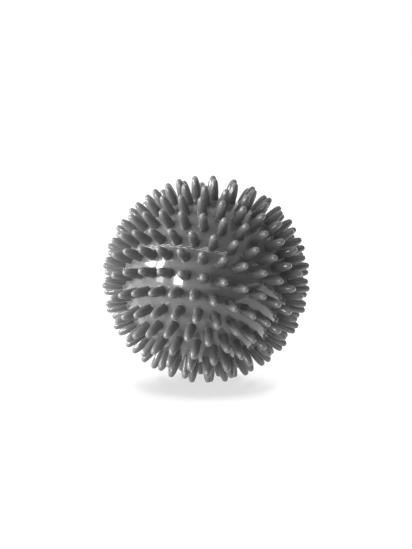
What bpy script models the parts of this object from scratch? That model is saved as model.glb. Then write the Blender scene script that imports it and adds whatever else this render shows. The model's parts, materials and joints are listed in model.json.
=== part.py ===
"""Spiky massage ball: two moulded half shells with radial spikes, lapped at a seam, and an air valve.

Metres, +Z up. Each piece is modelled about the ball's own axis, with the valve at its upper pole, and
hangs from one empty at the ball's centre. The empty lays the ball down on neighbouring spike tips, on the
floor at z = 0. Latitudes and longitudes are the ball's own: longitude 0 faces the front, and turns
towards +X.
"""

import math

import bmesh
import bpy
from mathutils import Matrix, Vector

# Shell
SHELL_DIAMETER = 0.0720
WALL = 0.0022
CAVITY_SEGMENTS = 36

# Spikes, moulded in one with the shell, in rows from the seam to the poles
SPIKE_HEIGHT = 0.0090
SPIKE_ROOT_DIAMETER = 0.0045
SPIKE_SHOULDER_DIAMETER = 0.00365
SPIKE_NOSE_LENGTH = 0.0029
SPIKE_PITCH = 0.0074
SPIKE_SIDES = 6
NOSE_RING_ANGLE = math.radians(46)
POLE_MARGIN = 0.0004

# How far each row is turned about the ball's axis, in spikes, from the seam to the pole
UPPER_ROW_TURNS = (-0.05, 0.25, 0.00, 0.05, 0.40, 0.30, 0.25)
LOWER_ROW_TURNS = (-0.40, -0.15, -0.40, -0.05, -0.25, 0.20, 0.15)

# Seam, where the lower shell's lip stands inside the upper shell's rebate
SEAM_HEIGHT = 0.0006
SEAM_GAP = 0.0002
SEAM_MARGIN = 0.00045
LIP_HEIGHT = 0.0020
LIP_THICKNESS = 0.0010
LAP_CLEARANCE = 0.0002
RIM_SEGMENTS = 60

# Air valve at the upper pole: a bonded seat in a flat land with a boss behind it, and a pull-out plug
SEAT_BORE_DIAMETER = 0.0036
SEAT_WALL = 0.0012
SEAT_LENGTH = 0.0066
FLANGE_REACH = 0.0013
FLANGE_THICKNESS = 0.0010
BOND_GAP = 0.0002
LAND_RIM = 0.0011
BOSS_WALL = 0.0023
BOSS_OVERHANG = 0.0004
PLUG_CLEARANCE = 0.0002
PLUG_HEAD_REACH = 0.0015
PLUG_HEAD_THICKNESS = 0.0014
PLUG_NAIL_GAP = 0.0005
PLUG_STEM_LENGTH = 0.0060
PLUG_TAPER_LENGTH = 0.0012
VALVE_SEGMENTS = 24

# How the ball lies: what faces the floor, which way the upper pole leans, and how far the tips press flat
RESTING_LATITUDE = math.radians(-58.5)
RESTING_LONGITUDE = math.radians(155)
LEAN_AZIMUTH = math.radians(66.5)
TIP_FLAT = 0.00035

# Moulded soft plastic
SHELL_GREY = (0.085, 0.085, 0.086, 1)
SEAT_GREY = (0.065, 0.065, 0.066, 1)
PLUG_GREY = (0.075, 0.075, 0.076, 1)
SHELL_ROUGHNESS = 0.28
SEAT_ROUGHNESS = 0.45
PLUG_ROUGHNESS = 0.38
SHARP_ANGLE = math.radians(35)
MERGE_DISTANCE = 1e-6

# Derived sizes
UP = Vector((0, 0, 1))
POLE = math.pi / 2
SHELL_RADIUS = SHELL_DIAMETER / 2
CAVITY_RADIUS = SHELL_RADIUS - WALL
TIP_RADIUS = SHELL_RADIUS + SPIKE_HEIGHT
ROOT_SPREAD = math.asin(SPIKE_ROOT_DIAMETER / 2 / SHELL_RADIUS)
ROW_STEP = SPIKE_PITCH / SHELL_RADIUS
FIRST_ROW = math.asin((SEAM_HEIGHT + SEAM_MARGIN) / SHELL_RADIUS) + ROOT_SPREAD
LIP_RADIUS = CAVITY_RADIUS + LIP_THICKNESS
REBATE_RADIUS = LIP_RADIUS + LAP_CLEARANCE
REBATE_DEPTH = LIP_HEIGHT + LAP_CLEARANCE - SEAM_GAP
BORE_RADIUS = SEAT_BORE_DIAMETER / 2
TUBE_RADIUS = BORE_RADIUS + SEAT_WALL
FLANGE_RADIUS = TUBE_RADIUS + FLANGE_REACH
LAND_RADIUS = FLANGE_RADIUS + BOND_GAP + LAND_RIM
LAND_SPREAD = math.asin(LAND_RADIUS / SHELL_RADIUS)
LAND_HEIGHT = SHELL_RADIUS * math.cos(LAND_SPREAD)
BOSS_RADIUS = TUBE_RADIUS + BOND_GAP + BOSS_WALL
BOSS_DEPTH = SEAT_LENGTH + BOSS_OVERHANG


def clear_scene():
    """Removes every object from the scene."""
    for obj in list(bpy.data.objects):
        bpy.data.objects.remove(obj, do_unlink=True)


def new_collection(name):
    """A new collection in the scene."""
    collection = bpy.data.collections.new(name)
    bpy.context.scene.collection.children.link(collection)
    return collection


def moulded_plastic(name, colour, roughness):
    """A Principled material of one colour."""
    material = bpy.data.materials.new(name)
    material.use_nodes = True
    shader = material.node_tree.nodes["Principled BSDF"]
    shader.inputs["Base Color"].default_value = colour
    shader.inputs["Roughness"].default_value = roughness
    shader.inputs["Metallic"].default_value = 0.0
    material.diffuse_color = colour
    return material


def object_from(bm, name, collection):
    """An object with the bmesh's geometry, shaded smooth between its sharp edges."""
    mesh = bpy.data.meshes.new(name)
    bm.to_mesh(mesh)
    bm.free()
    mesh.shade_smooth()
    mesh.set_sharp_from_angle(angle=SHARP_ANGLE)
    obj = bpy.data.objects.new(name, mesh)
    collection.objects.link(obj)
    return obj


def turned(name, profile, collection, closed):
    """An object turned about the ball's axis, set at the land.

    The profile is (radius, height) points, down the outer side, with heights from the land.
    """
    bm = bmesh.new()
    points = [bm.verts.new((radius, 0, height)) for radius, height in profile]
    for start, end in zip(points, points[1:]):
        bm.edges.new((start, end))
    if closed:
        bm.edges.new((points[-1], points[0]))
    obj = object_from(bm, name, collection)
    obj.location = LAND_HEIGHT * UP
    screw = obj.modifiers.new("turn", "SCREW")
    screw.axis = "Z"
    screw.steps = VALVE_SEGMENTS
    screw.render_steps = VALVE_SEGMENTS
    screw.use_merge_vertices = True
    screw.merge_threshold = MERGE_DISTANCE
    return obj


def make_cutter(obj):
    """Shows an object as wire, and leaves it out of a render."""
    obj.hide_render = True
    obj.display_type = "WIRE"
    return obj


def cut(obj, cutter):
    """Takes the cutter's shape out of an object."""
    boolean = obj.modifiers.new(cutter.name, "BOOLEAN")
    boolean.operation = "DIFFERENCE"
    boolean.solver = "EXACT"
    boolean.object = cutter


def direction(latitude, longitude):
    """The unit vector at a latitude and a longitude."""
    across = math.cos(latitude)
    return Vector((across * math.sin(longitude), -across * math.cos(longitude), math.sin(latitude)))


def ring_on_shell(latitude, longitude, spread, count):
    """Points on the shell's sphere, evenly round a place on it, at an angle from that place."""
    axis = direction(latitude, longitude)
    east = Vector((math.cos(longitude), math.sin(longitude), 0))
    north = axis.cross(east)
    turns = [math.tau * step / count for step in range(count)]
    spokes = [math.cos(turn) * north + math.sin(turn) * east for turn in turns]
    return [SHELL_RADIUS * (math.cos(spread) * axis + math.sin(spread) * spoke) for spoke in spokes]


def spike_places(side):
    """The latitude and longitude of one half's spikes, row by row from the seam.

    The side is 1 for the upper half, whose rows stop at the valve's land, and -1 for the lower half, which
    has one more spike at its pole.
    """
    turns = UPPER_ROW_TURNS if side > 0 else LOWER_ROW_TURNS
    pole_spread = LAND_SPREAD if side > 0 else ROOT_SPREAD
    highest = POLE - pole_spread - POLE_MARGIN / SHELL_RADIUS - ROOT_SPREAD
    places = []
    row = 0
    latitude = FIRST_ROW
    while latitude < highest:
        count = round(math.tau * SHELL_RADIUS * math.cos(latitude) / SPIKE_PITCH)
        turn = turns[row % len(turns)]
        places += [(side * latitude, math.tau * (step + turn) / count) for step in range(count)]
        row += 1
        latitude = FIRST_ROW + row * ROW_STEP
    if side < 0:
        places.append((-POLE, 0))
    return places


def merged_face(bm, ring):
    """One flat face in place of the hull's triangles inside a ring of its points."""
    corners = set(ring)
    inside = {face for point in ring for face in point.link_faces if corners.issuperset(face.verts)}
    if len(inside) == 1:
        return inside.pop()
    return bmesh.ops.dissolve_faces(bm, faces=list(inside))["region"][0]


def raise_spikes(bm, roots):
    """Draws each root face out into a tapered spike with a rounded nose."""
    shoulder_radius = SPIKE_SHOULDER_DIAMETER / 2
    shoulder_height = SPIKE_HEIGHT - SPIKE_NOSE_LENGTH
    nose_radius = shoulder_radius * math.cos(NOSE_RING_ANGLE)
    nose_height = shoulder_height + SPIKE_NOSE_LENGTH * math.sin(NOSE_RING_ANGLE)
    caps = roots
    for height, radius in ((shoulder_height, shoulder_radius), (nose_height, nose_radius)):
        caps = bmesh.ops.extrude_discrete_faces(bm, faces=caps)["faces"]
        for cap in caps:
            axis = cap.calc_center_median().normalized()
            for point in cap.verts:
                spoke = (point.co - point.co.dot(axis) * axis).normalized()
                point.co = (SHELL_RADIUS + height) * axis + radius * spoke
    for tip in bmesh.ops.poke(bm, faces=caps)["verts"]:
        tip.co = TIP_RADIUS * tip.co.normalized()


def step_seam(bm, seam, radius, rise):
    """Sets the part of the seam's face inside a radius up by a rise, as a lip or as a rebate."""
    for height in (0, rise):
        seam = bmesh.ops.extrude_discrete_faces(bm, faces=[seam])["faces"][0]
        for point in seam.verts:
            spoke = Vector((point.co.x, point.co.y, 0)).normalized()
            point.co = radius * spoke + (point.co.z + height) * UP


def half_shell(name, side, collection):
    """One half of the ball as a solid dome with its spikes and its stepped seam."""
    bm = bmesh.new()
    roots = [ring_on_shell(*place, ROOT_SPREAD, SPIKE_SIDES) for place in spike_places(side)]
    root_points = [[bm.verts.new(point) for point in ring] for ring in roots]
    rim_height = SEAM_HEIGHT + side * SEAM_GAP / 2
    rim = ring_on_shell(POLE, 0, math.acos(rim_height / SHELL_RADIUS), RIM_SEGMENTS)
    rim_points = [bm.verts.new(point) for point in rim]
    land_points = []
    if side > 0:
        land = ring_on_shell(POLE, 0, LAND_SPREAD, VALVE_SEGMENTS)
        land_points = [bm.verts.new(point) for point in land]
    bmesh.ops.convex_hull(bm, input=bm.verts)
    root_faces = [merged_face(bm, ring) for ring in root_points]
    seam = merged_face(bm, rim_points)
    if land_points:
        merged_face(bm, land_points)
    raise_spikes(bm, root_faces)
    if side > 0:
        step_seam(bm, seam, REBATE_RADIUS, REBATE_DEPTH)
    else:
        step_seam(bm, seam, LIP_RADIUS, LIP_HEIGHT)
    bmesh.ops.recalc_face_normals(bm, faces=bm.faces)
    return object_from(bm, name, collection)


def valve_boss(collection):
    """The boss behind the land, left standing in the air space."""
    bm = bmesh.new()
    bmesh.ops.create_cone(
        bm,
        cap_ends=True,
        segments=VALVE_SEGMENTS,
        radius1=BOSS_RADIUS,
        radius2=BOSS_RADIUS,
        depth=SHELL_RADIUS,
        matrix=Matrix.Translation((LAND_HEIGHT - BOSS_DEPTH + SHELL_RADIUS / 2) * UP),
    )
    return make_cutter(object_from(bm, "valve_boss", collection))


def air_space(boss, collection):
    """The air space inside the ball, less the valve's boss."""
    bm = bmesh.new()
    rings = CAVITY_SEGMENTS // 2
    bmesh.ops.create_uvsphere(bm, u_segments=CAVITY_SEGMENTS, v_segments=rings, radius=CAVITY_RADIUS)
    space = make_cutter(object_from(bm, "air_space", collection))
    cut(space, boss)
    return space


def valve_bore(collection):
    """The stepped hole for the valve seat, from above the land to below the boss."""
    flange_hole = FLANGE_RADIUS + BOND_GAP
    tube_hole = TUBE_RADIUS + BOND_GAP
    step = -FLANGE_THICKNESS - BOND_GAP
    above = BOSS_DEPTH
    below = -2 * BOSS_DEPTH
    profile = (
        (0, above),
        (flange_hole, above),
        (flange_hole, step),
        (tube_hole, step),
        (tube_hole, below),
        (0, below),
    )
    return make_cutter(turned("valve_bore", profile, collection, closed=False))


def valve_seat(collection):
    """The flanged tube bonded into the boss, flush with the land."""
    profile = (
        (BORE_RADIUS, 0),
        (FLANGE_RADIUS, 0),
        (FLANGE_RADIUS, -FLANGE_THICKNESS),
        (TUBE_RADIUS, -FLANGE_THICKNESS),
        (TUBE_RADIUS, -SEAT_LENGTH),
        (BORE_RADIUS, -SEAT_LENGTH),
    )
    return turned("valve_seat", profile, collection, closed=True)


def valve_plug(collection):
    """The stopper: a low head that a fingernail can lift, on a stem that tapers to half its width."""
    stem = BORE_RADIUS - PLUG_CLEARANCE
    head = BORE_RADIUS + PLUG_HEAD_REACH
    neck = (head + stem) / 2
    underside = PLUG_CLEARANCE
    top = underside + PLUG_HEAD_THICKNESS
    chamfer = (PLUG_HEAD_THICKNESS - PLUG_NAIL_GAP) / 2
    stem_end = underside - PLUG_STEM_LENGTH
    profile = (
        (0, top),
        (head - chamfer, top),
        (head, top - chamfer),
        (head, underside + PLUG_NAIL_GAP),
        (neck, underside),
        (stem, underside),
        (stem, stem_end + PLUG_TAPER_LENGTH),
        (stem / 2, stem_end),
        (0, stem_end),
    )
    return turned("valve_plug", profile, collection, closed=False)


def resting_pose(tips):
    """The turn that lays the ball down, and the height of its centre.

    The tips' hull has a facet between each three neighbouring tips. The one that faces nearest to the
    resting latitude and longitude becomes level, and the upper pole then leans towards the lean azimuth.
    """
    bm = bmesh.new()
    for tip in tips:
        bm.verts.new(tip)
    bmesh.ops.convex_hull(bm, input=bm.verts)
    bm.normal_update()
    below = direction(RESTING_LATITUDE, RESTING_LONGITUDE)
    facet = max(bm.faces, key=lambda face: face.normal.dot(below))
    height = facet.normal.dot(facet.verts[0].co) - TIP_FLAT
    level = facet.normal.rotation_difference(-UP).to_matrix()
    bm.free()
    pole = level @ UP
    turn = Matrix.Rotation(LEAN_AZIMUTH - math.atan2(pole.y, pole.x), 3, "Z")
    return turn @ level, height


def lay_down(objects, tips):
    """Hangs objects from an empty at the ball's centre, turned and set over the middle of its footprint."""
    turn, height = resting_pose(tips)
    points = [turn @ tip for tip in tips]
    middle_x, middle_y = [(min(p[i] for p in points) + max(p[i] for p in points)) / 2 for i in (0, 1)]
    centre = bpy.data.objects.new("ball_centre", None)
    bpy.context.scene.collection.objects.link(centre)
    centre.matrix_world = Matrix.Translation((-middle_x, -middle_y, height)) @ turn.to_4x4()
    for obj in objects:
        obj.parent = centre


def floor_cutter(collection):
    """The space below the floor, where the tips that carry the ball press flat."""
    bm = bmesh.new()
    side = 4 * TIP_RADIUS
    bmesh.ops.create_cube(bm, size=side, matrix=Matrix.Translation(-side / 2 * UP))
    return make_cutter(object_from(bm, "floor", collection))


def main():
    """Builds the ball."""
    clear_scene()
    parts = new_collection("spiky_massage_ball")
    cutters = new_collection("cutters")
    shell_plastic = moulded_plastic("grey_soft_plastic", SHELL_GREY, SHELL_ROUGHNESS)
    seat_plastic = moulded_plastic("valve_seat_plastic", SEAT_GREY, SEAT_ROUGHNESS)
    plug_plastic = moulded_plastic("valve_plug_plastic", PLUG_GREY, PLUG_ROUGHNESS)

    upper = half_shell("upper_shell", 1, parts)
    lower = half_shell("lower_shell", -1, parts)
    seat = valve_seat(parts)
    plug = valve_plug(parts)
    boss = valve_boss(cutters)
    space = air_space(boss, cutters)
    bore = valve_bore(cutters)

    tips = [TIP_RADIUS * direction(*place) for place in spike_places(1) + spike_places(-1)]
    lay_down((upper, lower, seat, plug, boss, space, bore), tips)
    cut(upper, space)
    cut(upper, bore)
    cut(lower, space)
    cut(lower, floor_cutter(cutters))

    upper.data.materials.append(shell_plastic)
    lower.data.materials.append(shell_plastic)
    seat.data.materials.append(seat_plastic)
    plug.data.materials.append(plug_plastic)


main()
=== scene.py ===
"""Looks of a spiky massage ball: glossy grey soft plastic with moulded spikes, a seam and an air valve.

Metres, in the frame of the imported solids. Each piece is worked out about the ball's own axis, with the valve
at its upper pole, and is then turned and set down as the ball lies.
"""

import json
import logging
import math
from dataclasses import dataclass
from enum import Enum

import bmesh
import bpy
import numpy as np
from mathutils import Matrix, Vector


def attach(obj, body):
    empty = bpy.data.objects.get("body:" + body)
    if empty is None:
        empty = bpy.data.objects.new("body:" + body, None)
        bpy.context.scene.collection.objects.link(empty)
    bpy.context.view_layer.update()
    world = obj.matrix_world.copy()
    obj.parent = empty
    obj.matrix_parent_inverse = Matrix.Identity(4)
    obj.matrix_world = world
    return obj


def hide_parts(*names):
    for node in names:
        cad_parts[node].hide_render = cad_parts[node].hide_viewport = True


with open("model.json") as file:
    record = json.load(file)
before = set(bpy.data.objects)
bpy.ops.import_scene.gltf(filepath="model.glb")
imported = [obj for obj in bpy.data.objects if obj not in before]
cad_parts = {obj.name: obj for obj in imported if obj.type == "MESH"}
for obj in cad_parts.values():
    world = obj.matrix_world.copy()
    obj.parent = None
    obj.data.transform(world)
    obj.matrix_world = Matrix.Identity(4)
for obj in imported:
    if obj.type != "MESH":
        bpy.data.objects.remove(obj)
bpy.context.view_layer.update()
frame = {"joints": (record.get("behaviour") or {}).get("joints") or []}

LOG = logging.getLogger("spiky_massage_ball")
BALL_BODY = "ball"
PLUG_BODY = "plug"
RISE = "rise"
WHITE = 1.0
UP = np.array((0.0, 0.0, 1.0))
POLE = math.pi / 2
GOLDEN_ANGLE = math.pi * (3 - math.sqrt(5))

Colour = tuple[float, float, float, float]
SocketValue = float | Colour | bpy.types.NodeSocket


class Half(Enum):
    """The two half shells, with the sign of their side of the seam."""

    UPPER = 1
    LOWER = -1


def neutral(level: float) -> Colour:
    """An opaque grey."""
    return (level, level, level, 1.0)


def unit(vectors: np.ndarray) -> np.ndarray:
    """Vectors scaled to length 1 along the last axis."""
    return vectors / np.linalg.norm(vectors, axis=-1, keepdims=True)


def direction(latitude: np.ndarray | float, longitude: np.ndarray | float) -> np.ndarray:
    """Unit vectors from the ball's centre: longitude 0 faces -Y and grows towards +X.

    Args:
        latitude: Angles above the ball's equator.
        longitude: Angles about the ball's axis.

    Returns:
        The vectors, along the last axis.
    """
    across = np.cos(latitude)
    parts = (across * np.sin(longitude), -across * np.cos(longitude), np.sin(latitude))
    return np.stack(np.broadcast_arrays(*parts), axis=-1)


def circle(count: int) -> np.ndarray:
    """Angles of a circle's evenly spaced points."""
    return np.arange(count) * math.tau / count


def level_circle(count: int) -> np.ndarray:
    """Unit vectors evenly round the Z axis, from +X towards +Y."""
    turns = circle(count)
    return np.stack((np.cos(turns), np.sin(turns), np.zeros(count)), axis=1)


def turned_about_axis(outline: np.ndarray, count: int) -> np.ndarray:
    """Carries points or vectors round the Z axis.

    At the turn t, a radius r and a height h give (r cos t, r sin t, h).

    Args:
        outline: Radius and height of each point or vector.
        count: Turns, evenly round the axis.

    Returns:
        Points or vectors, by place in the outline and by turn.
    """
    return outline[:, None, :1] * level_circle(count) + outline[:, None, 1:] * UP


def hull_triangles(points: np.ndarray) -> np.ndarray:
    """Triangles of the convex hull of points, facing out.

    Args:
        points: Points on a sphere about the origin, or on part of one.

    Returns:
        Three point numbers for each triangle.
    """
    mesh = bpy.data.meshes.new("hull")
    mesh.from_pydata(points, [], [])
    bm = bmesh.new()
    bm.from_mesh(mesh)
    bmesh.ops.convex_hull(bm, input=bm.verts)
    bm.to_mesh(mesh)
    bm.free()
    triangles = np.empty(len(mesh.loops), np.int64)
    mesh.loops.foreach_get("vertex_index", triangles)
    bpy.data.meshes.remove(mesh)
    triangles = triangles.reshape(-1, 3)
    corners = points[triangles]
    normals = np.cross(corners[:, 1] - corners[:, 0], corners[:, 2] - corners[:, 0])
    inward = np.sum(normals * (corners.mean(axis=1) - points.mean(axis=0)), axis=1) < 0
    triangles[inward] = triangles[inward][:, ::-1]
    return triangles


def band_faces(rows: np.ndarray) -> np.ndarray:
    """Four-sided faces between neighbouring rows of points that each close on themselves.

    Args:
        rows: Point numbers, with the rows on the last axis but one and the points round a row on the last.

    Returns:
        Four point numbers for each face, turning from one row to the next.
    """
    near, far = rows[..., :-1, :], rows[..., 1:, :]
    corners = (near, np.roll(near, -1, axis=-1), np.roll(far, -1, axis=-1), far)
    return np.stack(corners, axis=-1).reshape(-1, 4)


def fan_faces(rings: np.ndarray, tips: np.ndarray | int) -> np.ndarray:
    """Triangles from each ring of points to its tip.

    Args:
        rings: Point numbers, with the points round a ring on the last axis.
        tips: Number of each ring's tip.

    Returns:
        Three point numbers for each triangle.
    """
    corners = (rings, np.roll(rings, -1, axis=-1), np.broadcast_to(tips, rings.shape))
    return np.stack(corners, axis=-1).reshape(-1, 3)


def add_object(name: str, data: bpy.types.ID) -> bpy.types.Object:
    """Adds an object to the scene.

    Args:
        name: The object's name.
        data: Its mesh, lamp or camera.

    Returns:
        The object, at the origin.
    """
    obj = bpy.data.objects.new(name, data)
    bpy.context.scene.collection.objects.link(obj)
    return obj


@dataclass
class Surface:
    """A mesh as arrays, about the ball's own axis.

    Attributes:
        points: Where the points are.
        faces: Groups of faces with as many corners each, as point numbers.
        normals: The surface's normal at each corner of each face, in the same groups.
        rise: How far up a spike each point stands, from 0 at the shell to 1 at the tip.
    """

    points: np.ndarray
    faces: list[np.ndarray]
    normals: list[np.ndarray]
    rise: np.ndarray

    def laid_down(self, name: str, turn: np.ndarray, centre: np.ndarray) -> bpy.types.Object:
        """Makes the object, turned and moved to where the ball lies, with nothing below the floor.

        Args:
            name: The piece's name.
            turn: The ball's rotation matrix.
            centre: The ball's centre.

        Returns:
            The object, at the origin, with its place in its mesh.
        """
        points = self.points @ turn.T + centre
        points[:, 2] = np.maximum(points[:, 2], 0.0)
        mesh = bpy.data.meshes.new(name)
        mesh.from_pydata(points, [], [face for group in self.faces for face in group.tolist()])
        mesh.shade_smooth()
        normals = np.concatenate([group.reshape(-1, 3) for group in self.normals])
        mesh.normals_split_custom_set((normals @ turn.T).tolist())
        rise = mesh.attributes.new(RISE, "FLOAT", "POINT")
        rise.data.foreach_set("value", self.rise.astype(np.float32))
        return add_object(name, mesh)


@dataclass(frozen=True)
class BallLayout:
    """The ball's main sizes, where its spikes stand, and how it lies on the floor.

    Attributes:
        shell_radius: Outside of the shell.
        wall: Thickness of the shell.
        spike_height: From the shell to a spike's tip.
        spike_root_radius: Widest part of a spike's root, which spaces the rows off the seam and the poles.
        spike_pitch: Distance between rows, and about that between a row's spikes.
        upper_turns: How far each row of the upper half is turned, in spikes, from the seam to the pole.
        lower_turns: The same for the lower half.
        seam_height: Height of the seam over the equator.
        seam_gap: Gap between the half shells where the seam shows.
        seam_margin: Bare shell between the seam and the first row's roots.
        pole_margin: Bare shell between the last row and what stands at the pole.
        land_radius: Flat round the valve, at the upper pole.
        resting_latitude: Latitude of what faces the floor.
        resting_longitude: Longitude of what faces the floor.
        lean_azimuth: Where the upper pole leans to.
        tip_flat: How far the tips that carry the ball press flat.
    """

    shell_radius: float = 0.0360
    wall: float = 0.0022
    spike_height: float = 0.0090
    spike_root_radius: float = 0.00225
    spike_pitch: float = 0.0074
    upper_turns: tuple[float, ...] = (-0.05, 0.25, 0.00, 0.05, 0.40, 0.30, 0.25)
    lower_turns: tuple[float, ...] = (-0.40, -0.15, -0.40, -0.05, -0.25, 0.20, 0.15)
    seam_height: float = 0.0006
    seam_gap: float = 0.00002
    seam_margin: float = 0.00045
    pole_margin: float = 0.0004
    land_radius: float = 0.0056
    resting_latitude: float = math.radians(-58.5)
    resting_longitude: float = math.radians(155)
    lean_azimuth: float = math.radians(66.5)
    tip_flat: float = 0.00035

    @property
    def tip_radius(self) -> float:
        """Distance of the spikes' tips from the ball's centre."""
        return self.shell_radius + self.spike_height

    @property
    def cavity_radius(self) -> float:
        """Radius of the air space."""
        return self.shell_radius - self.wall

    @property
    def land_height(self) -> float:
        """Height of the valve's land over the ball's centre."""
        return math.sqrt(self.shell_radius**2 - self.land_radius**2)

    def rim_height(self, half: Half) -> float:
        """Height of a half shell's rim over the equator."""
        return self.seam_height + half.value * self.seam_gap / 2

    def spike_places(self, half: Half) -> np.ndarray:
        """Latitude and longitude of one half's spikes, row by row from the seam.

        Rows lie one pitch apart, and each holds as many spikes as fit its length at about that pitch. The
        lower half has one more spike at its pole, where the upper half has the valve.

        Args:
            half: Which half.

        Returns:
            A row of latitude and longitude for each spike.
        """
        root = math.asin(self.spike_root_radius / self.shell_radius)
        land = math.asin(self.land_radius / self.shell_radius)
        first = math.asin((self.seam_height + self.seam_margin) / self.shell_radius) + root
        at_pole = land if half is Half.UPPER else root
        last = POLE - at_pole - self.pole_margin / self.shell_radius - root
        latitudes = np.arange(first, last, self.spike_pitch / self.shell_radius)
        turns = self.upper_turns if half is Half.UPPER else self.lower_turns
        rows = []
        for row, latitude in enumerate(latitudes):
            count = round(math.tau * self.shell_radius * math.cos(latitude) / self.spike_pitch)
            longitudes = math.tau * (np.arange(count) + turns[row % len(turns)]) / count
            rows.append(np.stack((np.full(count, half.value * latitude), longitudes), axis=1))
        if half is Half.LOWER:
            rows.append(np.array([[-POLE, 0.0]]))
        return np.concatenate(rows)

    def resting_pose(self) -> tuple[np.ndarray, np.ndarray]:
        """How the ball lies.

        The tips' hull has a facet between each three neighbouring tips. The one that faces nearest to the
        resting latitude and longitude is made level, and the upper pole then leans to its azimuth.

        Returns:
            The ball's rotation matrix and its centre.
        """
        places = np.concatenate([self.spike_places(half) for half in Half])
        tips = self.tip_radius * direction(places[:, 0], places[:, 1])
        corners = tips[hull_triangles(tips)]
        normals = unit(np.cross(corners[:, 1] - corners[:, 0], corners[:, 2] - corners[:, 0]))
        facet = np.argmax(normals @ direction(self.resting_latitude, self.resting_longitude))
        height = normals[facet] @ corners[facet, 0] - self.tip_flat
        level = Vector(normals[facet]).rotation_difference(Vector(-UP)).to_matrix()
        pole = level @ Vector(UP)
        turn = np.array(Matrix.Rotation(self.lean_azimuth - math.atan2(pole.y, pole.x), 3, "Z") @ level)
        laid = tips @ turn.T
        middle = (laid.min(axis=0) + laid.max(axis=0)) / 2
        return turn, np.array((-middle[0], -middle[1], height))


class MaterialNodes:
    """A new material, with methods that add to its nodes.

    Attributes:
        material: The material.
        tree: Its nodes and links.
        shader: The shader that a new material has.
    """

    # Numbers of a mix node's sockets that hold colours
    MIX_FIRST = 6
    MIX_SECOND = 7
    MIX_RESULT = 2

    def __init__(self, name: str) -> None:
        """Makes the material.

        Args:
            name: The material's name.
        """
        self.material = bpy.data.materials.new(name)
        self.material.use_nodes = True
        self.tree = self.material.node_tree
        self.shader = self.tree.nodes["Principled BSDF"]

    def fill(self, node: bpy.types.Node, inputs: dict[str | int, SocketValue]) -> None:
        """Links or sets a node's inputs.

        Args:
            node: The node.
            inputs: A number, a colour or another node's output for each input, by its name or number.
        """
        for socket, value in inputs.items():
            if isinstance(value, bpy.types.NodeSocket):
                self.tree.links.new(value, node.inputs[socket])
            else:
                node.inputs[socket].default_value = value

    def add(self, kind: str, inputs: dict[str | int, SocketValue]) -> bpy.types.Node:
        """Adds a node.

        Args:
            kind: The node's type.
            inputs: What goes into it, as for fill.

        Returns:
            The node.
        """
        node = self.tree.nodes.new(kind)
        self.fill(node, inputs)
        return node

    def remap(
        self, value: bpy.types.NodeSocket, span: tuple[float, float], result: tuple[float, float] = (0.0, 1.0)
    ) -> bpy.types.NodeSocket:
        """A value that runs over one span as another runs over its own.

        Args:
            value: The other value.
            span: Where that value starts and ends.
            result: Where the new value starts and ends.

        Returns:
            The new value.
        """
        limits = {"From Min": span[0], "From Max": span[1], "To Min": result[0], "To Max": result[1]}
        return self.add("ShaderNodeMapRange", {"Value": value, **limits}).outputs["Result"]

    def mix(
        self, share: bpy.types.NodeSocket, first: SocketValue, second: SocketValue
    ) -> bpy.types.NodeSocket:
        """A colour between two.

        Args:
            share: Share of the second.
            first: The first colour.
            second: The second colour.

        Returns:
            The colour.
        """
        node = self.add("ShaderNodeMix", {})
        node.data_type = "RGBA"
        self.fill(node, {"Factor": share, self.MIX_FIRST: first, self.MIX_SECOND: second})
        return node.outputs[self.MIX_RESULT]

    def show(self, shader: bpy.types.Node) -> bpy.types.Material:
        """Puts another shader in the first one's place.

        Args:
            shader: The shader.

        Returns:
            The finished material.
        """
        self.tree.nodes.remove(self.shader)
        self.fill(self.tree.nodes["Material Output"], {"Surface": shader.outputs[0]})
        return self.material


@dataclass(frozen=True)
class Noise:
    """A noise texture on a piece's own coordinates.

    Attributes:
        scale: Features to the metre.
        detail: Layers of finer noise.
    """

    scale: float
    detail: float

    def add_to(self, nodes: MaterialNodes) -> bpy.types.NodeSocket:
        """Adds the texture to a material.

        Args:
            nodes: The material's nodes.

        Returns:
            The texture's value.
        """
        place = nodes.add("ShaderNodeTexCoord", {}).outputs["Object"]
        inputs = {"Scale": self.scale, "Detail": self.detail, "Vector": place}
        return nodes.add("ShaderNodeTexNoise", inputs).outputs["Fac"]


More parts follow.
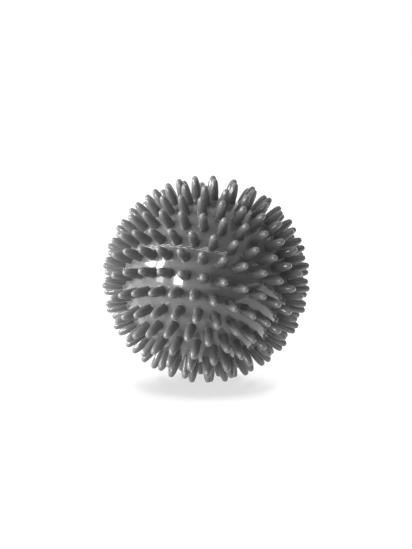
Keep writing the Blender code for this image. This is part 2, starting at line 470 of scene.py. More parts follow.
@dataclass(frozen=True)
class SoftPlastic:
    """Moulded soft plastic: a grey that varies a little, tips made paler by wear and painted light, a gloss
    that varies, and the mould's fine grain.

    Attributes:
        name: The material's name.
        grey: The plastic's colour.
        mottle: Share by which the colour varies, over a few millimetres.
        roughness: Roughness of the clean surface.
        dulling: Roughness added where the gloss is worn.
        grain: Height of the mould's grain.
        skin: Weight of the smooth outer skin that the plastic's oil leaves.
        tip_wear_and_light: Share by which the spikes' tips are paler: partly wear, and partly painted light
            where the tips stand out into the light.
        ior: Refractive index.
    """

    name: str
    grey: tuple[float, float, float]
    mottle: float
    roughness: float
    dulling: float
    grain: float
    skin: float
    tip_wear_and_light: float = 0.0
    ior: float = 1.38

    # Textures of the colour, the gloss and the grain, with the spans of their values that show
    MOTTLE = Noise(170.0, 3.0)
    MOTTLE_SPAN = (0.35, 0.65)
    WEAR = Noise(420.0, 2.0)
    WEAR_SPAN = (0.40, 0.75)
    GRAIN = Noise(1500.0, 1.0)
    # Part of a spike's rise over which it turns paler, by wear and painted light
    TIP_SPAN = (0.62, 1.0)
    SKIN_ROUGHNESS = 0.03

    def shade(self, share: float) -> Colour:
        """The plastic's grey, lighter or darker by a share."""
        return (*(part * (1 + share) for part in self.grey), 1.0)

    def make(self) -> bpy.types.Material:
        """Makes the material's nodes.

        Returns:
            The material.
        """
        nodes = MaterialNodes(self.name)
        patches = nodes.remap(self.MOTTLE.add_to(nodes), self.MOTTLE_SPAN)
        body = nodes.mix(patches, self.shade(-self.mottle), self.shade(self.mottle))
        rise = nodes.add("ShaderNodeAttribute", {})
        rise.attribute_name = RISE
        # The tips turn paler towards their ends: partly wear, partly painted light on the exposed tips
        tip = nodes.remap(rise.outputs["Fac"], self.TIP_SPAN)
        gloss = (self.roughness, self.roughness + self.dulling)
        bump = nodes.add("ShaderNodeBump", {"Distance": self.grain, "Height": self.GRAIN.add_to(nodes)})
        finish = {
            "Base Color": nodes.mix(tip, body, self.shade(self.tip_wear_and_light)),
            "Roughness": nodes.remap(self.WEAR.add_to(nodes), self.WEAR_SPAN, gloss),
            "IOR": self.ior,
            "Coat Weight": self.skin,
            "Coat Roughness": self.SKIN_ROUGHNESS,
            "Normal": bump.outputs["Normal"],
        }
        nodes.fill(nodes.shader, finish)
        return nodes.material


@dataclass(frozen=True)
class HalfShell:
    """A half shell with its spikes, as one closed surface.

    Attributes:
        layout: The ball's sizes.
        half: Which half.
        spike_waist_radius: A spike's body where it leaves the shell.
        spike_fullness: Power of the spike's profile: below 1 its nose is blunter than an ellipse's.
        foot_spread: How much wider a spike's foot is than its waist.
        flare: How far the fillet round a spike's root reaches out.
        spike_sides: Points round a spike.
        ring_angles: Where a spike's rings lie, as angles on its profile from the root to the tip.
        filler_count: Points of the even lattice over the whole sphere that fills the bare shell.
        filler_gap: Clear distance from those points to a root, the rim or the land.
        rim_points: Points round the rim, the air space and the land.
        cavity_rings: Rings of the air space's wall.
        lip_height: Height of the lower shell's lip.
        lip_thickness: Thickness of the lip.
        lap_clearance: Gap between the lip and the upper shell's rebate.
        valve_hole: Radius and height of the hole for the valve, if any, from the air space out to the land.
    """

    layout: BallLayout
    half: Half
    spike_waist_radius: float = 0.00220
    spike_fullness: float = 0.62
    foot_spread: float = 0.00010
    flare: float = 0.00022
    spike_sides: int = 12
    ring_angles: tuple[float, ...] = tuple(math.radians(angle) for angle in (1.8, 27, 47, 65, 79))
    filler_count: int = 5200
    filler_gap: float = 0.00045
    rim_points: int = 144
    cavity_rings: int = 24
    lip_height: float = 0.0020
    lip_thickness: float = 0.0010
    lap_clearance: float = 0.0002
    valve_hole: tuple[tuple[float, float], ...] = ()

    @property
    def root_spread(self) -> float:
        """Angle at the ball's centre from a spike's axis to the edge of its root."""
        root = self.spike_waist_radius + self.foot_spread + self.flare
        return math.asin(root / self.layout.shell_radius)

    @staticmethod
    def spokes(places: np.ndarray, count: int) -> tuple[np.ndarray, np.ndarray]:
        """Axes at places on the sphere, and unit vectors evenly round each, turning to the left.

        Args:
            places: Latitude and longitude of each place.
            count: Vectors round an axis.

        Returns:
            The axes, and the vectors by place and by number.
        """
        longitudes = places[:, 1]
        axes = direction(places[:, 0], longitudes)
        east = direction(np.zeros_like(longitudes), longitudes + math.pi / 2)
        north = np.cross(axes, east)
        turns = circle(count)[None, :, None]
        return axes, np.cos(turns) * east[:, None] + np.sin(turns) * north[:, None]

    def ring_on_shell(self, places: np.ndarray, spread: float, count: int) -> np.ndarray:
        """Rings of points on the shell's sphere, each round a place on it.

        Args:
            places: Latitude and longitude of each ring's middle.
            spread: Angle from the middle to the ring.
            count: Points in a ring.

        Returns:
            Points, by ring and by point in the ring.
        """
        axes, spokes = self.spokes(places, count)
        reach = math.cos(spread) * axes[:, None] + math.sin(spread) * spokes
        return self.layout.shell_radius * reach

    def fillers(self, places: np.ndarray) -> np.ndarray:
        """Points of an even lattice on the sphere that lie on this half's bare shell.

        Point number n of N lies at the height 1 - (2n + 1) / N on the unit sphere, and turns by the golden
        angle from the one before.

        Args:
            places: Latitude and longitude of the spikes.

        Returns:
            The points.
        """
        layout = self.layout
        numbers = np.arange(self.filler_count)
        latitudes = np.arcsin(1 - (2 * numbers + 1) / self.filler_count)
        lattice = direction(latitudes, GOLDEN_ANGLE * numbers)
        gap = self.filler_gap / layout.shell_radius
        nearest = (lattice @ direction(places[:, 0], places[:, 1]).T).max(axis=1)
        bare = nearest < math.cos(self.root_spread + gap)
        rim = math.asin(layout.rim_height(self.half) / layout.shell_radius)
        bare &= self.half.value * (latitudes - rim) > gap
        if self.half is Half.UPPER:
            bare &= latitudes < math.acos(layout.land_radius / layout.shell_radius) - gap
        return layout.shell_radius * lattice[bare]

    def spike_rings(self, places: np.ndarray) -> tuple[np.ndarray, np.ndarray]:
        """Points and normals of the spikes' rings above their roots.

        At the angle a of its profile, a spike's height is the full height times sin a. Its radius is the
        waist's radius times cos a to the power of its fullness, plus the foot's spread times the square of
        1 - sin a.

        Args:
            places: Latitude and longitude of the spikes.

        Returns:
            Points and normals, by spike, ring and point in the ring.
        """
        layout = self.layout
        axes, spokes = self.spokes(places, self.spike_sides)
        angles = np.array(self.ring_angles)[None, :, None, None]
        heights = layout.shell_radius + layout.spike_height * np.sin(angles)
        nose = self.spike_waist_radius * np.cos(angles) ** self.spike_fullness
        foot = self.foot_spread * (1 - np.sin(angles))
        radii = nose + foot * (1 - np.sin(angles))
        slope = self.spike_fullness * nose * np.tan(angles) + 2 * foot * np.cos(angles)
        axes, spokes = axes[:, None, None], spokes[:, None]
        points = heights * axes + radii * spokes
        normals = unit(layout.spike_height * np.cos(angles) * spokes + slope * axes)
        return points, normals

    def inside_profile(self) -> np.ndarray:
        """Outline of the seam's step, the air space's wall and the valve's hole, from the rim in.

        Returns:
            Radius and height of each point.
        """
        layout = self.layout
        rim = layout.rim_height(self.half)
        step_radius = layout.cavity_radius + self.lip_thickness
        step_top = rim + self.lip_height
        if self.half is Half.UPPER:
            step_radius += self.lap_clearance
            step_top += self.lap_clearance - layout.seam_gap
        start = math.asin(step_top / layout.cavity_radius)
        end = self.half.value * POLE
        if self.valve_hole:
            end = math.acos(self.valve_hole[0][0] / layout.cavity_radius)
        wall = np.linspace(start, end, self.cavity_rings)[: None if self.valve_hole else -1]
        meridian = layout.cavity_radius * np.stack((np.cos(wall), np.sin(wall)), axis=1)
        step = ((step_radius, rim), (step_radius, step_top))
        return np.concatenate((step, meridian, np.array(self.valve_hole).reshape(-1, 2)))

    def passed_by(self, shell: np.ndarray, start: int) -> np.ndarray:
        """Triangles for the points of the rim or the land that the hull passed by.

        The hull rounds its points a little, so it can go straight from a ring's point to the next but one.

        Args:
            shell: The hull's triangles on the bare shell.
            start: Number of the ring's first point.

        Returns:
            Three point numbers for each triangle.
        """
        count = self.rim_points
        edges = np.concatenate([shell[:, sides] for sides in ((0, 1), (1, 2), (2, 0))]) - start
        edges = edges[np.all((edges >= 0) & (edges < count), axis=1)]
        step = (edges[:, 1] - edges[:, 0] + count // 2) % count - count // 2
        skips_one = np.abs(step) == 2
        near, far = edges[skips_one].T
        middle = (near + step[skips_one] // 2) % count
        return start + np.stack((far, near, middle), axis=1)

    def bare_shell(self, places: np.ndarray) -> tuple[np.ndarray, np.ndarray]:
        """The shell's outside between the spikes, the rim and the land.

        It is the hull of the root rings, the rim, the land and the fillers, less the facets that lie inside
        one ring.

        Args:
            places: Latitude and longitude of the spikes.

        Returns:
            Points, in that order, and triangles.
        """
        layout = self.layout
        spreads = [math.acos(layout.rim_height(self.half) / layout.shell_radius)]
        if self.half is Half.UPPER:
            spreads.append(math.asin(layout.land_radius / layout.shell_radius))
        pole = np.array([[POLE, 0.0]])
        roots = self.ring_on_shell(places, self.root_spread, self.spike_sides).reshape(-1, 3)
        rounds = np.concatenate([self.ring_on_shell(pole, spread, self.rim_points)[0] for spread in spreads])
        fillers = self.fillers(places)
        points = np.concatenate((roots, rounds, fillers))
        root_rings = np.arange(len(roots)) // self.spike_sides
        round_rings = len(places) + np.arange(len(rounds)) // self.rim_points
        rings = np.concatenate((root_rings, round_rings, -1 - np.arange(len(fillers))))
        hull = hull_triangles(points)
        first, second, third = rings[hull].T
        shell = hull[(first != second) | (second != third)]
        starts = range(len(roots), len(roots) + len(rounds), self.rim_points)
        return points, np.concatenate([shell, *(self.passed_by(shell, start) for start in starts)])

    def inside(self, rim_start: int, start: int) -> tuple[np.ndarray, list[np.ndarray], list[np.ndarray]]:
        """The inside as a profile turned about the ball's axis, from the rim to the pole or the land.

        Args:
            rim_start: Number of the rim's first point. The land's points follow the rim's.
            start: Number of the inside's first point.

        Returns:
            Points, groups of faces, and normals at the faces' corners.
        """
        layout = self.layout
        profile = self.inside_profile()
        points = turned_about_axis(profile, self.rim_points).reshape(-1, 3)
        rim = rim_start + np.arange(self.rim_points)
        rows = [rim, *(start + np.arange(len(points)).reshape(len(profile), -1))]
        outline = [(layout.shell_radius, layout.rim_height(self.half)), *profile]
        if self.half is Half.UPPER:
            rows.append(rim + self.rim_points)
            outline.append((layout.land_radius, layout.land_height))
        steps = np.diff(np.array(outline), axis=0)
        facing = -self.half.value * unit(np.stack((steps[:, 1], -steps[:, 0]), axis=1))
        here = turned_about_axis(facing, self.rim_points)
        ahead = np.roll(here, -1, axis=1)
        faces = band_faces(np.array(rows))
        normals = np.stack((here, ahead, ahead, here), axis=2).reshape(-1, 4, 3)
        if self.half is Half.UPPER:
            return points, [faces[:, ::-1]], [normals[:, ::-1]]
        fan = fan_faces(rows[-1], start + len(points))
        points = np.concatenate((points, [-layout.cavity_radius * UP]))
        return points, [faces, fan], [normals, np.broadcast_to(UP, (*fan.shape, 3))]

    def surface(self) -> Surface:
        """Joins the bare shell, the spikes and the inside into one closed surface.

        Returns:
            The surface, about the ball's own axis.
        """
        places = self.layout.spike_places(self.half)
        spikes = len(places)
        skin, shell = self.bare_shell(places)
        ring_points, ring_normals = self.spike_rings(places)
        tips = self.layout.tip_radius * direction(places[:, 0], places[:, 1])
        roots = np.arange(spikes * self.spike_sides).reshape(spikes, 1, self.spike_sides)
        above = len(skin) + np.arange(ring_points.size // 3).reshape(ring_points.shape[:3])
        walls = band_faces(np.concatenate((roots, above), axis=1))
        tip_numbers = len(skin) + above.size + np.arange(spikes)
        noses = fan_faces(above[:, -1], tip_numbers[:, None])
        outer = np.concatenate((skin, ring_points.reshape(-1, 3), tips))
        outer_normals = np.concatenate((unit(skin), ring_normals.reshape(-1, 3), unit(tips)))
        ring_rise = np.broadcast_to(np.sin(self.ring_angles)[None, :, None], above.shape).ravel()
        inner, inner_faces, inner_normals = self.inside(roots.size, len(outer))
        return Surface(
            points=np.concatenate((outer, inner)),
            faces=[shell, walls, noses, *inner_faces],
            normals=[outer_normals[shell], outer_normals[walls], outer_normals[noses], *inner_normals],
            rise=np.concatenate((np.zeros(len(skin)), ring_rise, np.ones(spikes), np.zeros(len(inner)))),
        )


@dataclass(frozen=True)
class TurnedPiece:
    """A piece turned about the ball's axis, with rounded corners.

    Attributes:
        profile: Radius and height over the land, down the outer side.
        closed: Whether the profile closes on itself, round a bore, or else ends on the axis.
        rounding: Length of each corner's rounding, along the lines that meet there.
        rounding_share: Largest share of a line that a rounding takes.
        arc_points: Points of each corner's rounding.
        sides: Points round the piece.
    """

    profile: tuple[tuple[float, float], ...]
    closed: bool
    rounding: float = 0.00018
    rounding_share: float = 0.45
    arc_points: int = 4
    sides: int = 64

    def rounded(self) -> np.ndarray:
        """The profile with each corner replaced by a parabola.

        The parabola starts and ends on the lines that meet at the corner, at the rounding's length from it or
        at its largest share of the line if that is less, and is tangent to both.

        Returns:
            Radius and height of each point.
        """
        corners = np.array(self.profile)
        before = np.roll(corners, 1, axis=0) - corners
        after = np.roll(corners, -1, axis=0) - corners

        def reach(lines: np.ndarray) -> np.ndarray:
            """Vectors along lines from their corners, as long as the rounding."""
            lengths = np.linalg.norm(lines, axis=1, keepdims=True)
            return lines / lengths * np.minimum(self.rounding, self.rounding_share * lengths)

        share = np.linspace(0, 1, self.arc_points)[None, :, None]
        start, end = (corners + reach(before))[:, None], (corners + reach(after))[:, None]
        arcs = (1 - share) ** 2 * start + 2 * share * (1 - share) * corners[:, None] + share**2 * end
        if self.closed:
            return arcs.reshape(-1, 2)
        return np.concatenate((corners[:1], arcs[1:-1].reshape(-1, 2), corners[-1:]))

    def surface(self, land_height: float) -> Surface:
        """Turns the profile about the ball's axis.

        Args:
            land_height: Height of the land over the ball's centre.

        Returns:
            The surface, about the ball's own axis.
        """
        outline = self.rounded() + (0.0, land_height)
        if self.closed:
            tangents = np.roll(outline, -1, axis=0) - np.roll(outline, 1, axis=0)
        else:
            tangents = np.gradient(outline, axis=0)
        facing = unit(np.stack((-tangents[:, 1], tangents[:, 0]), axis=1))
        body = slice(None) if self.closed else slice(1, -1)
        points = turned_about_axis(outline[body], self.sides).reshape(-1, 3)
        normals = turned_about_axis(facing[body], self.sides).reshape(-1, 3)
        rows = np.arange(len(points)).reshape(-1, self.sides)
        if self.closed:
            faces = [band_faces(np.concatenate((rows, rows[:1])))[:, ::-1]]
        else:
            top = len(points)
            points = np.concatenate((points, outline[[0, -1], 1:] * UP))
            normals = np.concatenate((normals, (UP, -UP)))
            ends = [fan_faces(rows[0], top), fan_faces(rows[-1][::-1], top + 1)]
            faces = [band_faces(rows)[:, ::-1], *ends]
        return Surface(points, faces, [normals[group] for group in faces], np.zeros(len(points)))


@dataclass(frozen=True)
class AirValve:
    """The valve at the upper pole: its hole in the shell, its bonded seat and its pull-out plug.

    Attributes:
        bore_radius: Inside of the seat's tube.
        seat_wall: Wall of the tube.
        seat_length: Length of the seat.
        flange_reach: How far the flange reaches past the tube.
        flange_thickness: Thickness of the flange.
        bond_gap: Gap that the seat is bonded in.
        boss_wall: Wall of the boss round the hole.
        boss_overhang: How far the boss reaches past the seat.
        plug_clearance: Gap between the plug and the seat.
        head_reach: How far the plug's head reaches past the bore.
        head_thickness: Thickness of the head.
        nail_gap: Height of the gap under the head's edge, for a fingernail.
        head_dish: Depth of the head's dish.
        stem_length: Length of the plug's stem.
        taper_length: Length of the taper at the stem's end.
    """

    bore_radius: float = 0.0018
    seat_wall: float = 0.0012
    seat_length: float = 0.0066
    flange_reach: float = 0.0013
    flange_thickness: float = 0.0010
    bond_gap: float = 0.0002
    boss_wall: float = 0.0023
    boss_overhang: float = 0.0004
    plug_clearance: float = 0.0002
    head_reach: float = 0.0015
    head_thickness: float = 0.0014
    nail_gap: float = 0.0005
    head_dish: float = 0.0003
    stem_length: float = 0.0060
    taper_length: float = 0.0012

    @property
    def tube_radius(self) -> float:
        """Outside of the seat's tube."""
        return self.bore_radius + self.seat_wall

    @property
    def flange_radius(self) -> float:
        """Outside of the seat's flange."""
        return self.tube_radius + self.flange_reach

    def hole(self, layout: BallLayout) -> tuple[tuple[float, float], ...]:
        """The boss and the stepped hole, from the air space out to the land.

        Args:
            layout: The ball's sizes.

        Returns:
            Radius and height of each corner.
        """
        tube_hole = self.tube_radius + self.bond_gap
        flange_hole = self.flange_radius + self.bond_gap
        boss_end = layout.land_height - self.seat_length - self.boss_overhang
        step = layout.land_height - self.flange_thickness - self.bond_gap
        return (
            (tube_hole + self.boss_wall, boss_end),
            (tube_hole, boss_end),
            (tube_hole, step),
            (flange_hole, step),
            (flange_hole, layout.land_height),
        )

    def seat(self) -> TurnedPiece:
        """The flanged tube, flush with the land.

        Returns:
            The piece.
        """
        profile = (
            (self.bore_radius, 0.0),
            (self.flange_radius, 0.0),
            (self.flange_radius, -self.flange_thickness),
            (self.tube_radius, -self.flange_thickness),
            (self.tube_radius, -self.seat_length),
            (self.bore_radius, -self.seat_length),
        )
        return TurnedPiece(profile, closed=True)

    def plug(self) -> TurnedPiece:
        """The stopper, with a dished head over a gap for a fingernail.

        Returns:
            The piece.
        """
        stem = self.bore_radius - self.plug_clearance
        head = self.bore_radius + self.head_reach
        underside = self.plug_clearance
        top = underside + self.head_thickness
        chamfer = (self.head_thickness - self.nail_gap) / 2
        stem_end = underside - self.stem_length
        profile = (
            (0.0, top - self.head_dish),
            (head / 2, top - self.head_dish),
            (head - chamfer, top),
            (head, top - chamfer),
            (head, underside + self.nail_gap),
            ((head + stem) / 2, underside),
            (stem, underside),
            (stem, stem_end + self.taper_length),
            (stem / 2, stem_end),
            (0.0, stem_end),
        )
        return TurnedPiece(profile, closed=False)


@dataclass(frozen=True)
class SeamFlash:
    """The two thin ragged ridges of flash that the mould leaves along the seam, with a few torn slivers.

    Attributes:
        layout: The ball's sizes.
        heights: Height of each ridge over the equator.
        width: Width of a ridge at the shell, where it stands up fully.
        tall: Height of a ridge where it stands up fully.
        sunk: How far a ridge's foot lies under the shell's surface.
        steps: Points along a ridge.
        arch: Where the points of a ridge's cross-section lie, as angles on half an ellipse and a little more.
        lean: How far a ridge's edge leans up the ball, for each length that it stands out.
        seed: Seed of the ragged edge.
        waves: Waves in the ragged edge.
        middle: Middle height of the ragged edge, in ridges.
        spread: How far the ragged edge strays from its middle, in ridges.
        least: Lowest height of the ragged edge, in ridges.
        trimmed: Longitudes between which the flash is trimmed off, but for the slivers.
        slivers: Longitude of each torn sliver's middle, and its length along the seam.
        sliver_height: Height of a sliver, in ridges.
        sliver_base: Share of a sliver's height that doesn't follow the ragged edge.
        sliver_shift: How far along the seam the next ridge's slivers stand.
    """

    layout: BallLayout
    heights: tuple[float, ...] = (0.00034, 0.00112)
    width: float = 0.00026
    tall: float = 0.00027
    sunk: float = 0.00018
    steps: int = 900
    arch: tuple[float, ...] = tuple(np.radians((-20, 20, 55, 90, 125, 160, 200)))
    lean: float = 0.9
    seed: int = 11
    waves: int = 90
    middle: float = 0.12
    spread: float = 0.32
    least: float = -0.30
    trimmed: tuple[float, float] = (math.radians(13), math.radians(85))
    slivers: tuple[tuple[float, float], ...] = (
        (math.radians(-5.5), 0.0040),
        (math.radians(6.5), 0.0036),
        (math.radians(29.5), 0.0012),
    )
    sliver_height: float = 3.2
    sliver_base: float = 0.6
    sliver_shift: float = math.radians(2)

    def ragged(self, number: int, generator: np.random.Generator) -> np.ndarray:
        """Heights along a ridge: random waves, with the slivers standing out of them.

        The waves are a sum of cosines round the ball, each of random phase and size, cut off above and below,
        and under the surface where the flash is trimmed. A sliver's height falls off with the square root of
        the distance to its ends.

        Args:
            number: Which ridge.
            generator: Where the phases and sizes come from.

        Returns:
            Shares of the ridge's full height.
        """
        phases = generator.uniform(0, math.tau, self.waves)
        sizes = generator.normal(size=self.waves)
        turns = circle(self.steps)
        sums = np.cos(turns[:, None] * np.arange(1, self.waves + 1) + phases) @ sizes
        ridge = np.clip(self.middle + self.spread * sums / sums.std(), self.least, 1.0)
        start, end = self.trimmed
        ridge[(turns + POLE - start) % math.tau < end - start] = self.least
        longitudes, lengths = np.array(self.slivers).T
        places = longitudes + number * self.sliver_shift - POLE
        away = np.abs((turns[:, None] - places + math.pi) % math.tau - math.pi) * self.layout.shell_radius
        inside = np.clip(1 - away / (lengths / 2), 0, 1).max(axis=1)
        return np.maximum(ridge, self.sliver_height * np.sqrt(inside) * (self.sliver_base + ridge))

    def surface(self) -> Surface:
        """Carries a ridge's arched cross-section round the ball, as high as the ragged share.

        The arch is half an ellipse with its foot under the shell's surface, sheared by the lean. Its normals
        are square to the steps along it. A share below 0 leaves it under the surface.

        Returns:
            The surface, about the ball's own axis.
        """
        generator = np.random.default_rng(self.seed)
        around = level_circle(self.steps)[:, None]
        rows = np.arange(self.steps * len(self.arch)).reshape(self.steps, len(self.arch))
        points, faces, normals = [], [], []
        for number, height in enumerate(self.heights):
            base = math.sqrt(self.layout.shell_radius**2 - height**2)
            rise = self.tall * self.ragged(number, generator)[:, None]
            lift = (rise + self.sunk) * np.sin(self.arch) - self.sunk
            up = height + self.width / 2 * np.cos(self.arch) + self.lean * lift
            points.append(((base + lift)[..., None] * around + up[..., None] * UP).reshape(-1, 3))
            out_step, up_step = np.gradient(lift, axis=1), np.gradient(up, axis=1)
            facing = unit(-up_step[..., None] * around + out_step[..., None] * UP)
            normals.append(facing.reshape(-1, 3))
            faces.append(band_faces(np.concatenate((rows, rows[:1]))) + number * rows.size)
        corners = np.concatenate(normals)
        return Surface(
            points=np.concatenate(points),
            faces=faces,
            normals=[corners[group] for group in faces],
            rise=np.zeros(len(corners)),
        )


class Lamp(Enum):
    """The studio's lamps, named for what they do."""

    KEY = "key_light"
    WINDOW_BACK = "window_back_pane"
    WINDOW_FRONT = "window_front_pane"
    SIDE = "side_light"
    LOW = "low_light"
    FRONT = "front_light"
    SHADOW = "shadow_light"


@dataclass(frozen=True)
class SoftBox:
    """A rectangular lamp aimed at the ball.

    Attributes:
        lamp: Which lamp.
        towards: Direction from the ball to the lamp.
        width: Width of the lamp.
        height: Height of the lamp.
        power: Power in watts.
        mirrored: Whether it shows in the gloss.
        distance: Distance from the ball's centre.
    """

    lamp: Lamp
    towards: tuple[float, float, float]
    width: float
    height: float
    power: float
    mirrored: bool = True
    distance: float = 0.60

    def place(self, target: Vector) -> bpy.types.Object:
        """Makes the lamp, facing a target.

        Args:
            target: The ball's centre.

        Returns:
            The lamp's object.
        """
        light = bpy.data.lights.new(self.lamp.value, "AREA")
        light.shape = "RECTANGLE"
        light.size = self.width
        light.size_y = self.height
        light.energy = self.power
        obj = add_object(self.lamp.value, light)
        towards = Vector(self.towards).normalized()
        obj.location = target + self.distance * towards
        obj.rotation_euler = towards.to_track_quat("Z", "Y").to_euler()
        obj.visible_glossy = self.mirrored
        return obj


@dataclass(frozen=True)
class DarkCard:
    """A dark card that the camera doesn't see, and that lamps shine through.

    Attributes:
        name: The card's name.
        corners: Where its corners are.
        shades: Whether it takes the surround's light off the ball, or else only shows in its gloss.
    """

    name: str
    corners: tuple[tuple[float, float, float], ...]
    shades: bool


@dataclass(frozen=True)
class Studio:
    """A white floor and wall, soft lamps, dark cards, and the camera.

    Attributes:
        target: The ball's centre.
        azimuth: The camera's azimuth: 0 looks along +Y.
        elevation: The camera's angle over the horizon.
        distance: The camera's distance from the ball's centre.
        lens: Focal length, for a long side of 36 mm.
        clip_start: Nearest distance that the camera sees.
        aim_above: How far over the ball's centre the camera aims.
        floor_radius: Radius of the floor.
        floor_sides: Sides of the floor and of the wall round it.
        floor_glow: The floor's own light, which keeps its shadow pale.
        floor_grey: Colour of the floor under the lamps.
        wall_height: Height of the wall.
        wall_grey: Colour of the wall where it isn't seen.
        card_grey: Colour of the dark cards.
        card_roughness: Roughness of the dark cards.
        surround: Light level of the surround on the ball.
        shadow_lamps: How far back from straight up each of the shadow's lamps stands, and its strength.
        shadow_softness: How wide each of them looks from the floor.
    """

    target: Vector
    azimuth: float = math.radians(-0.5)
    elevation: float = math.radians(11.3)
    distance: float = 0.530
    lens: float = 80.3
    clip_start: float = 0.01
    aim_above: float = 0.0021
    floor_radius: float = 6.0
    floor_sides: int = 96
    floor_glow: float = 0.70
    floor_grey: float = 0.10
    wall_height: float = 1.8
    wall_grey: float = 0.8
    card_grey: float = 0.06
    card_roughness: float = 1.0
    surround: float = 0.68
    shadow_lamps: tuple[tuple[float, float], ...] = (
        (math.radians(-17), 8.9),
        (math.radians(62.5), 18.3),
    )
    shadow_softness: float = math.radians(22)

    SOFT_BOXES = (
        SoftBox(Lamp.KEY, (-0.80, -0.05, 0.60), width=0.40, height=0.40, power=3.2, mirrored=False),
        SoftBox(Lamp.WINDOW_BACK, (-0.937, -0.035, 0.365), width=0.20, height=0.16, power=1.9),
        SoftBox(Lamp.WINDOW_FRONT, (-0.880, -0.330, 0.365), width=0.11, height=0.16, power=1.1),
        SoftBox(Lamp.SIDE, (-0.895, -0.43, 0.125), width=0.12, height=0.11, power=0.42),
        SoftBox(Lamp.LOW, (-0.92, -0.20, 0.02), width=0.40, height=0.07, power=3.6, mirrored=False),
        SoftBox(Lamp.FRONT, (-0.60, -0.785, 0.147), width=0.13, height=0.13, power=1.35),
    )
    FRONT_CARD_CORNERS = (
        (-0.3, -1.6, 0.004),
        (0.8, -1.6, 0.004),
        (0.8, -0.10, 0.004),
        (0.04, -0.12, 0.004),
        (-0.02, -0.22, 0.004),
        (-0.3, -0.22, 0.004),
    )
    SIDE_CARD_CORNERS = ((0.6, -0.7, 0.05), (0.6, 0.4, 0.05), (0.6, 0.4, 0.5), (0.6, -0.7, 0.5))
    FAR_CARD_CORNERS = ((0.08, -0.9, 0.05), (0.6, -0.7, 0.05), (0.6, -0.7, 0.5), (0.08, -0.9, 0.5))
    CARDS = (
        DarkCard("front_card", FRONT_CARD_CORNERS, shades=True),
        DarkCard("side_card", SIDE_CARD_CORNERS, shades=False),
        DarkCard("far_card", FAR_CARD_CORNERS, shades=False),
    )

    def camera(self) -> None:
        """Makes the scene's camera, upright and aimed just over the ball's centre."""
        back = Vector(direction(self.elevation, self.azimuth))
        data = bpy.data.cameras.new("camera")
        data.lens = self.lens
        data.clip_start = self.clip_start
        camera = add_object("camera", data)
        camera.location = self.target + self.aim_above * Vector(UP) + self.distance * back
        camera.rotation_euler = (-back).to_track_quat("-Z", "Y").to_euler()
        bpy.context.scene.camera = camera

    def world(self) -> None:
        """Makes the surround's plain soft light."""
        world = bpy.data.worlds.new("surround")
        world.use_nodes = True
        background = world.node_tree.nodes["Background"]
        background.inputs["Color"].default_value = neutral(WHITE)
        background.inputs["Strength"].default_value = self.surround
        bpy.context.scene.world = world

    @staticmethod
    def stage_piece(
        name: str, points: np.ndarray, faces: np.ndarray, material: bpy.types.Material
    ) -> bpy.types.Object:
        """Makes a piece of the studio.

        Args:
            name: The piece's name.
            points: Where its points are.
            faces: Its faces, as point numbers.
            material: Its finish.

        Returns:
            The piece.
        """
        mesh = bpy.data.meshes.new(name)
        mesh.from_pydata(points, [], faces)
        mesh.materials.append(material)
        piece = add_object(name, mesh)
        return piece

    def backdrop(self) -> None:
        """Makes the wall round the floor, which is seen as white but doesn't light the ball.

        It is white for the rays that show a background: camera, glossy and transmission rays.
        """
        nodes = MaterialNodes("white_wall")
        path = nodes.add("ShaderNodeLightPath", {})
        seen = path.outputs["Is Camera Ray"]
        for name in ("Is Glossy Ray", "Is Transmission Ray"):
            largest = nodes.add("ShaderNodeMath", {0: seen, 1: path.outputs[name]})
            largest.operation = "MAXIMUM"
            seen = largest.outputs["Value"]
        matt = nodes.add("ShaderNodeBsdfDiffuse", {"Color": neutral(self.wall_grey)}).outputs["BSDF"]
        white = nodes.add("ShaderNodeEmission", {"Color": neutral(WHITE)}).outputs["Emission"]
        material = nodes.show(nodes.add("ShaderNodeMixShader", {"Fac": seen, 1: matt, 2: white}))
        foot = self.floor_radius * level_circle(self.floor_sides)
        rows = np.arange(2 * self.floor_sides).reshape(2, -1)
        wall = np.concatenate((foot, foot + self.wall_height * UP))
        self.stage_piece("backdrop", wall, band_faces(rows), material)

    def dark_cards(self) -> None:
        """Sets up the dark cards that take light off the ball."""
        nodes = MaterialNodes("dark_card")
        nodes.fill(nodes.shader, {"Base Color": neutral(self.card_grey), "Roughness": self.card_roughness})
        for card in self.CARDS:
            numbers = np.arange(len(card.corners))[None]
            piece = self.stage_piece(card.name, np.array(card.corners), numbers, nodes.material)
            piece.visible_camera = False
            piece.visible_shadow = False
            piece.visible_diffuse = card.shades

    def floor(self) -> bpy.types.Object:
        """Makes the floor: a flat disc that shows white with a pale shadow.

        Returns:
            The floor.
        """
        nodes = MaterialNodes("white_floor")
        glow = nodes.add("ShaderNodeEmission", {"Color": neutral(self.floor_glow)}).outputs["Emission"]
        matt = nodes.add("ShaderNodeBsdfDiffuse", {"Color": neutral(self.floor_grey)}).outputs["BSDF"]
        material = nodes.show(nodes.add("ShaderNodeAddShader", {0: glow, 1: matt}))
        edge = self.floor_radius * level_circle(self.floor_sides)
        return self.stage_piece("floor", edge, np.arange(self.floor_sides)[None], material)

    @staticmethod
    def lit_together(name: str, objects: list[bpy.types.Object]) -> bpy.types.Collection:
        """A collection of objects for lamps that light nothing else.

        Args:
            name: The collection's name.
            objects: What the lamps light.

        Returns:
            The collection.
        """
        collection = bpy.data.collections.new(name)
        for obj in objects:
            collection.objects.link(obj)
        return collection

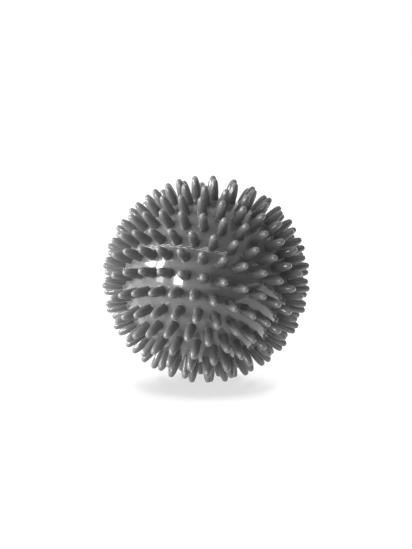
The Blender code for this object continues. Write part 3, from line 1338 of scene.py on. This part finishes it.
    def lamps(self, floor: bpy.types.Object) -> None:
        """Makes the soft boxes, which light all but the floor, and the shadow's lamps, which light it alone.

        The floor is over white under the shadow's two lamps, and white under one of them. So its shadow shows
        only where the ball hides both, as a thin ellipse.

        Args:
            floor: The floor.
        """
        others = [obj for obj in bpy.context.scene.objects if obj.type == "MESH" and obj != floor]
        all_but_floor = self.lit_together("lit_by_soft_boxes", others)
        for box in self.SOFT_BOXES:
            box.place(self.target).light_linking.receiver_collection = all_but_floor
        floor_only = self.lit_together("lit_for_shadow", [floor])
        for tilt, strength in self.shadow_lamps:
            sun = bpy.data.lights.new(Lamp.SHADOW.value, "SUN")
            sun.energy = strength
            sun.angle = self.shadow_softness
            lamp = add_object(Lamp.SHADOW.value, sun)
            lamp.rotation_euler = (-tilt, 0.0, 0.0)
            lamp.light_linking.receiver_collection = floor_only


@dataclass
class MassageBall:
    """The whole ball: its half shells, its seam's flash and its valve.

    Attributes:
        layout: The ball's main sizes.
        valve: The air valve's sizes.
        shell_plastic: Finish of the shell and its spikes.
        flash_highlight_plastic: Finish of the seam's thin flash, painted paler than the shell's plastic as
            highlight along its ridges.
        seat_plastic: Finish of the valve's seat.
        plug_plastic: Finish of the valve's plug.
    """

    layout: BallLayout
    valve: AirValve
    shell_plastic: SoftPlastic
    flash_highlight_plastic: SoftPlastic
    seat_plastic: SoftPlastic
    plug_plastic: SoftPlastic

    def dress(
        self, obj: bpy.types.Object, material: bpy.types.Material, body: str, slot: str, *nodes: str
    ) -> None:
        """Gives a piece its material and its body, and hides the solids that it stands for.

        Args:
            obj: The piece.
            material: Its finish.
            body: The body that it moves with.
            slot: The record's material slot. Not used.
            nodes: The solids that it replaces.
        """
        obj.data.materials.append(material)
        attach(obj, body)
        if nodes:
            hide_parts(*nodes)
        LOG.info("%s: %d faces, on %s, for %s", obj.name, len(obj.data.polygons), body, nodes or "no solid")

    def build(self) -> None:
        """Builds and dresses every piece."""
        layout = self.layout
        pose = layout.resting_pose()
        joint = next(joint for joint in frame["joints"] if joint["child"] == PLUG_BODY)
        LOG.info("axis is off the joint's by %.6f", np.linalg.norm(pose[0] @ UP - np.array(joint["axis"])))
        plastic = self.shell_plastic.make()
        hole = self.valve.hole(layout)
        upper = HalfShell(layout, Half.UPPER, valve_hole=hole).surface().laid_down("upper_half", *pose)
        self.dress(upper, plastic, BALL_BODY, "shell", "upper_shell")
        lower = HalfShell(layout, Half.LOWER).surface().laid_down("lower_half", *pose)
        self.dress(lower, plastic, BALL_BODY, "shell", "lower_shell")
        flash = SeamFlash(layout).surface().laid_down("seam_flash", *pose)
        self.dress(flash, self.flash_highlight_plastic.make(), BALL_BODY, "shell")
        seat = self.valve.seat().surface(layout.land_height).laid_down("valve_seat_tube", *pose)
        self.dress(seat, self.seat_plastic.make(), BALL_BODY, "valve_seat", "valve_seat")
        plug = self.valve.plug().surface(layout.land_height).laid_down("valve_stopper", *pose)
        self.dress(plug, self.plug_plastic.make(), PLUG_BODY, "valve_plug", "valve_plug")


def main() -> None:
    logging.basicConfig(level=logging.INFO, format="%(name)s: %(message)s")
    layout = BallLayout()
    ball = MassageBall(
        layout=layout,
        valve=AirValve(),
        shell_plastic=SoftPlastic(
            name="grey_soft_plastic",
            grey=(0.096, 0.096, 0.097),
            mottle=0.07,
            roughness=0.16,
            dulling=0.10,
            grain=0.00001,
            skin=0.8,
            tip_wear_and_light=0.40,
        ),
        # The flash's pale grey is painted highlight along the seam's thin ridges; it is the shell's plastic
        flash_highlight_plastic=SoftPlastic(
            name="seam_flash_painted_highlight",
            grey=(0.360, 0.360, 0.361),
            mottle=0.10,
            roughness=0.28,
            dulling=0.10,
            grain=0.00002,
            skin=0.4,
        ),
        seat_plastic=SoftPlastic(
            name="valve_seat_plastic",
            grey=(0.065, 0.065, 0.066),
            mottle=0.08,
            roughness=0.38,
            dulling=0.12,
            grain=0.00002,
            skin=0.0,
        ),
        plug_plastic=SoftPlastic(
            name="valve_plug_plastic",
            grey=(0.075, 0.075, 0.076),
            mottle=0.06,
            roughness=0.30,
            dulling=0.12,
            grain=0.00002,
            skin=0.2,
        ),
    )
    ball.build()
    studio = Studio(target=Vector(layout.resting_pose()[1]))
    studio.camera()
    studio.world()
    studio.backdrop()
    studio.dark_cards()
    studio.lamps(studio.floor())
    bpy.context.scene.view_settings.view_transform = "Standard"


if __name__ == "__main__":
    main()
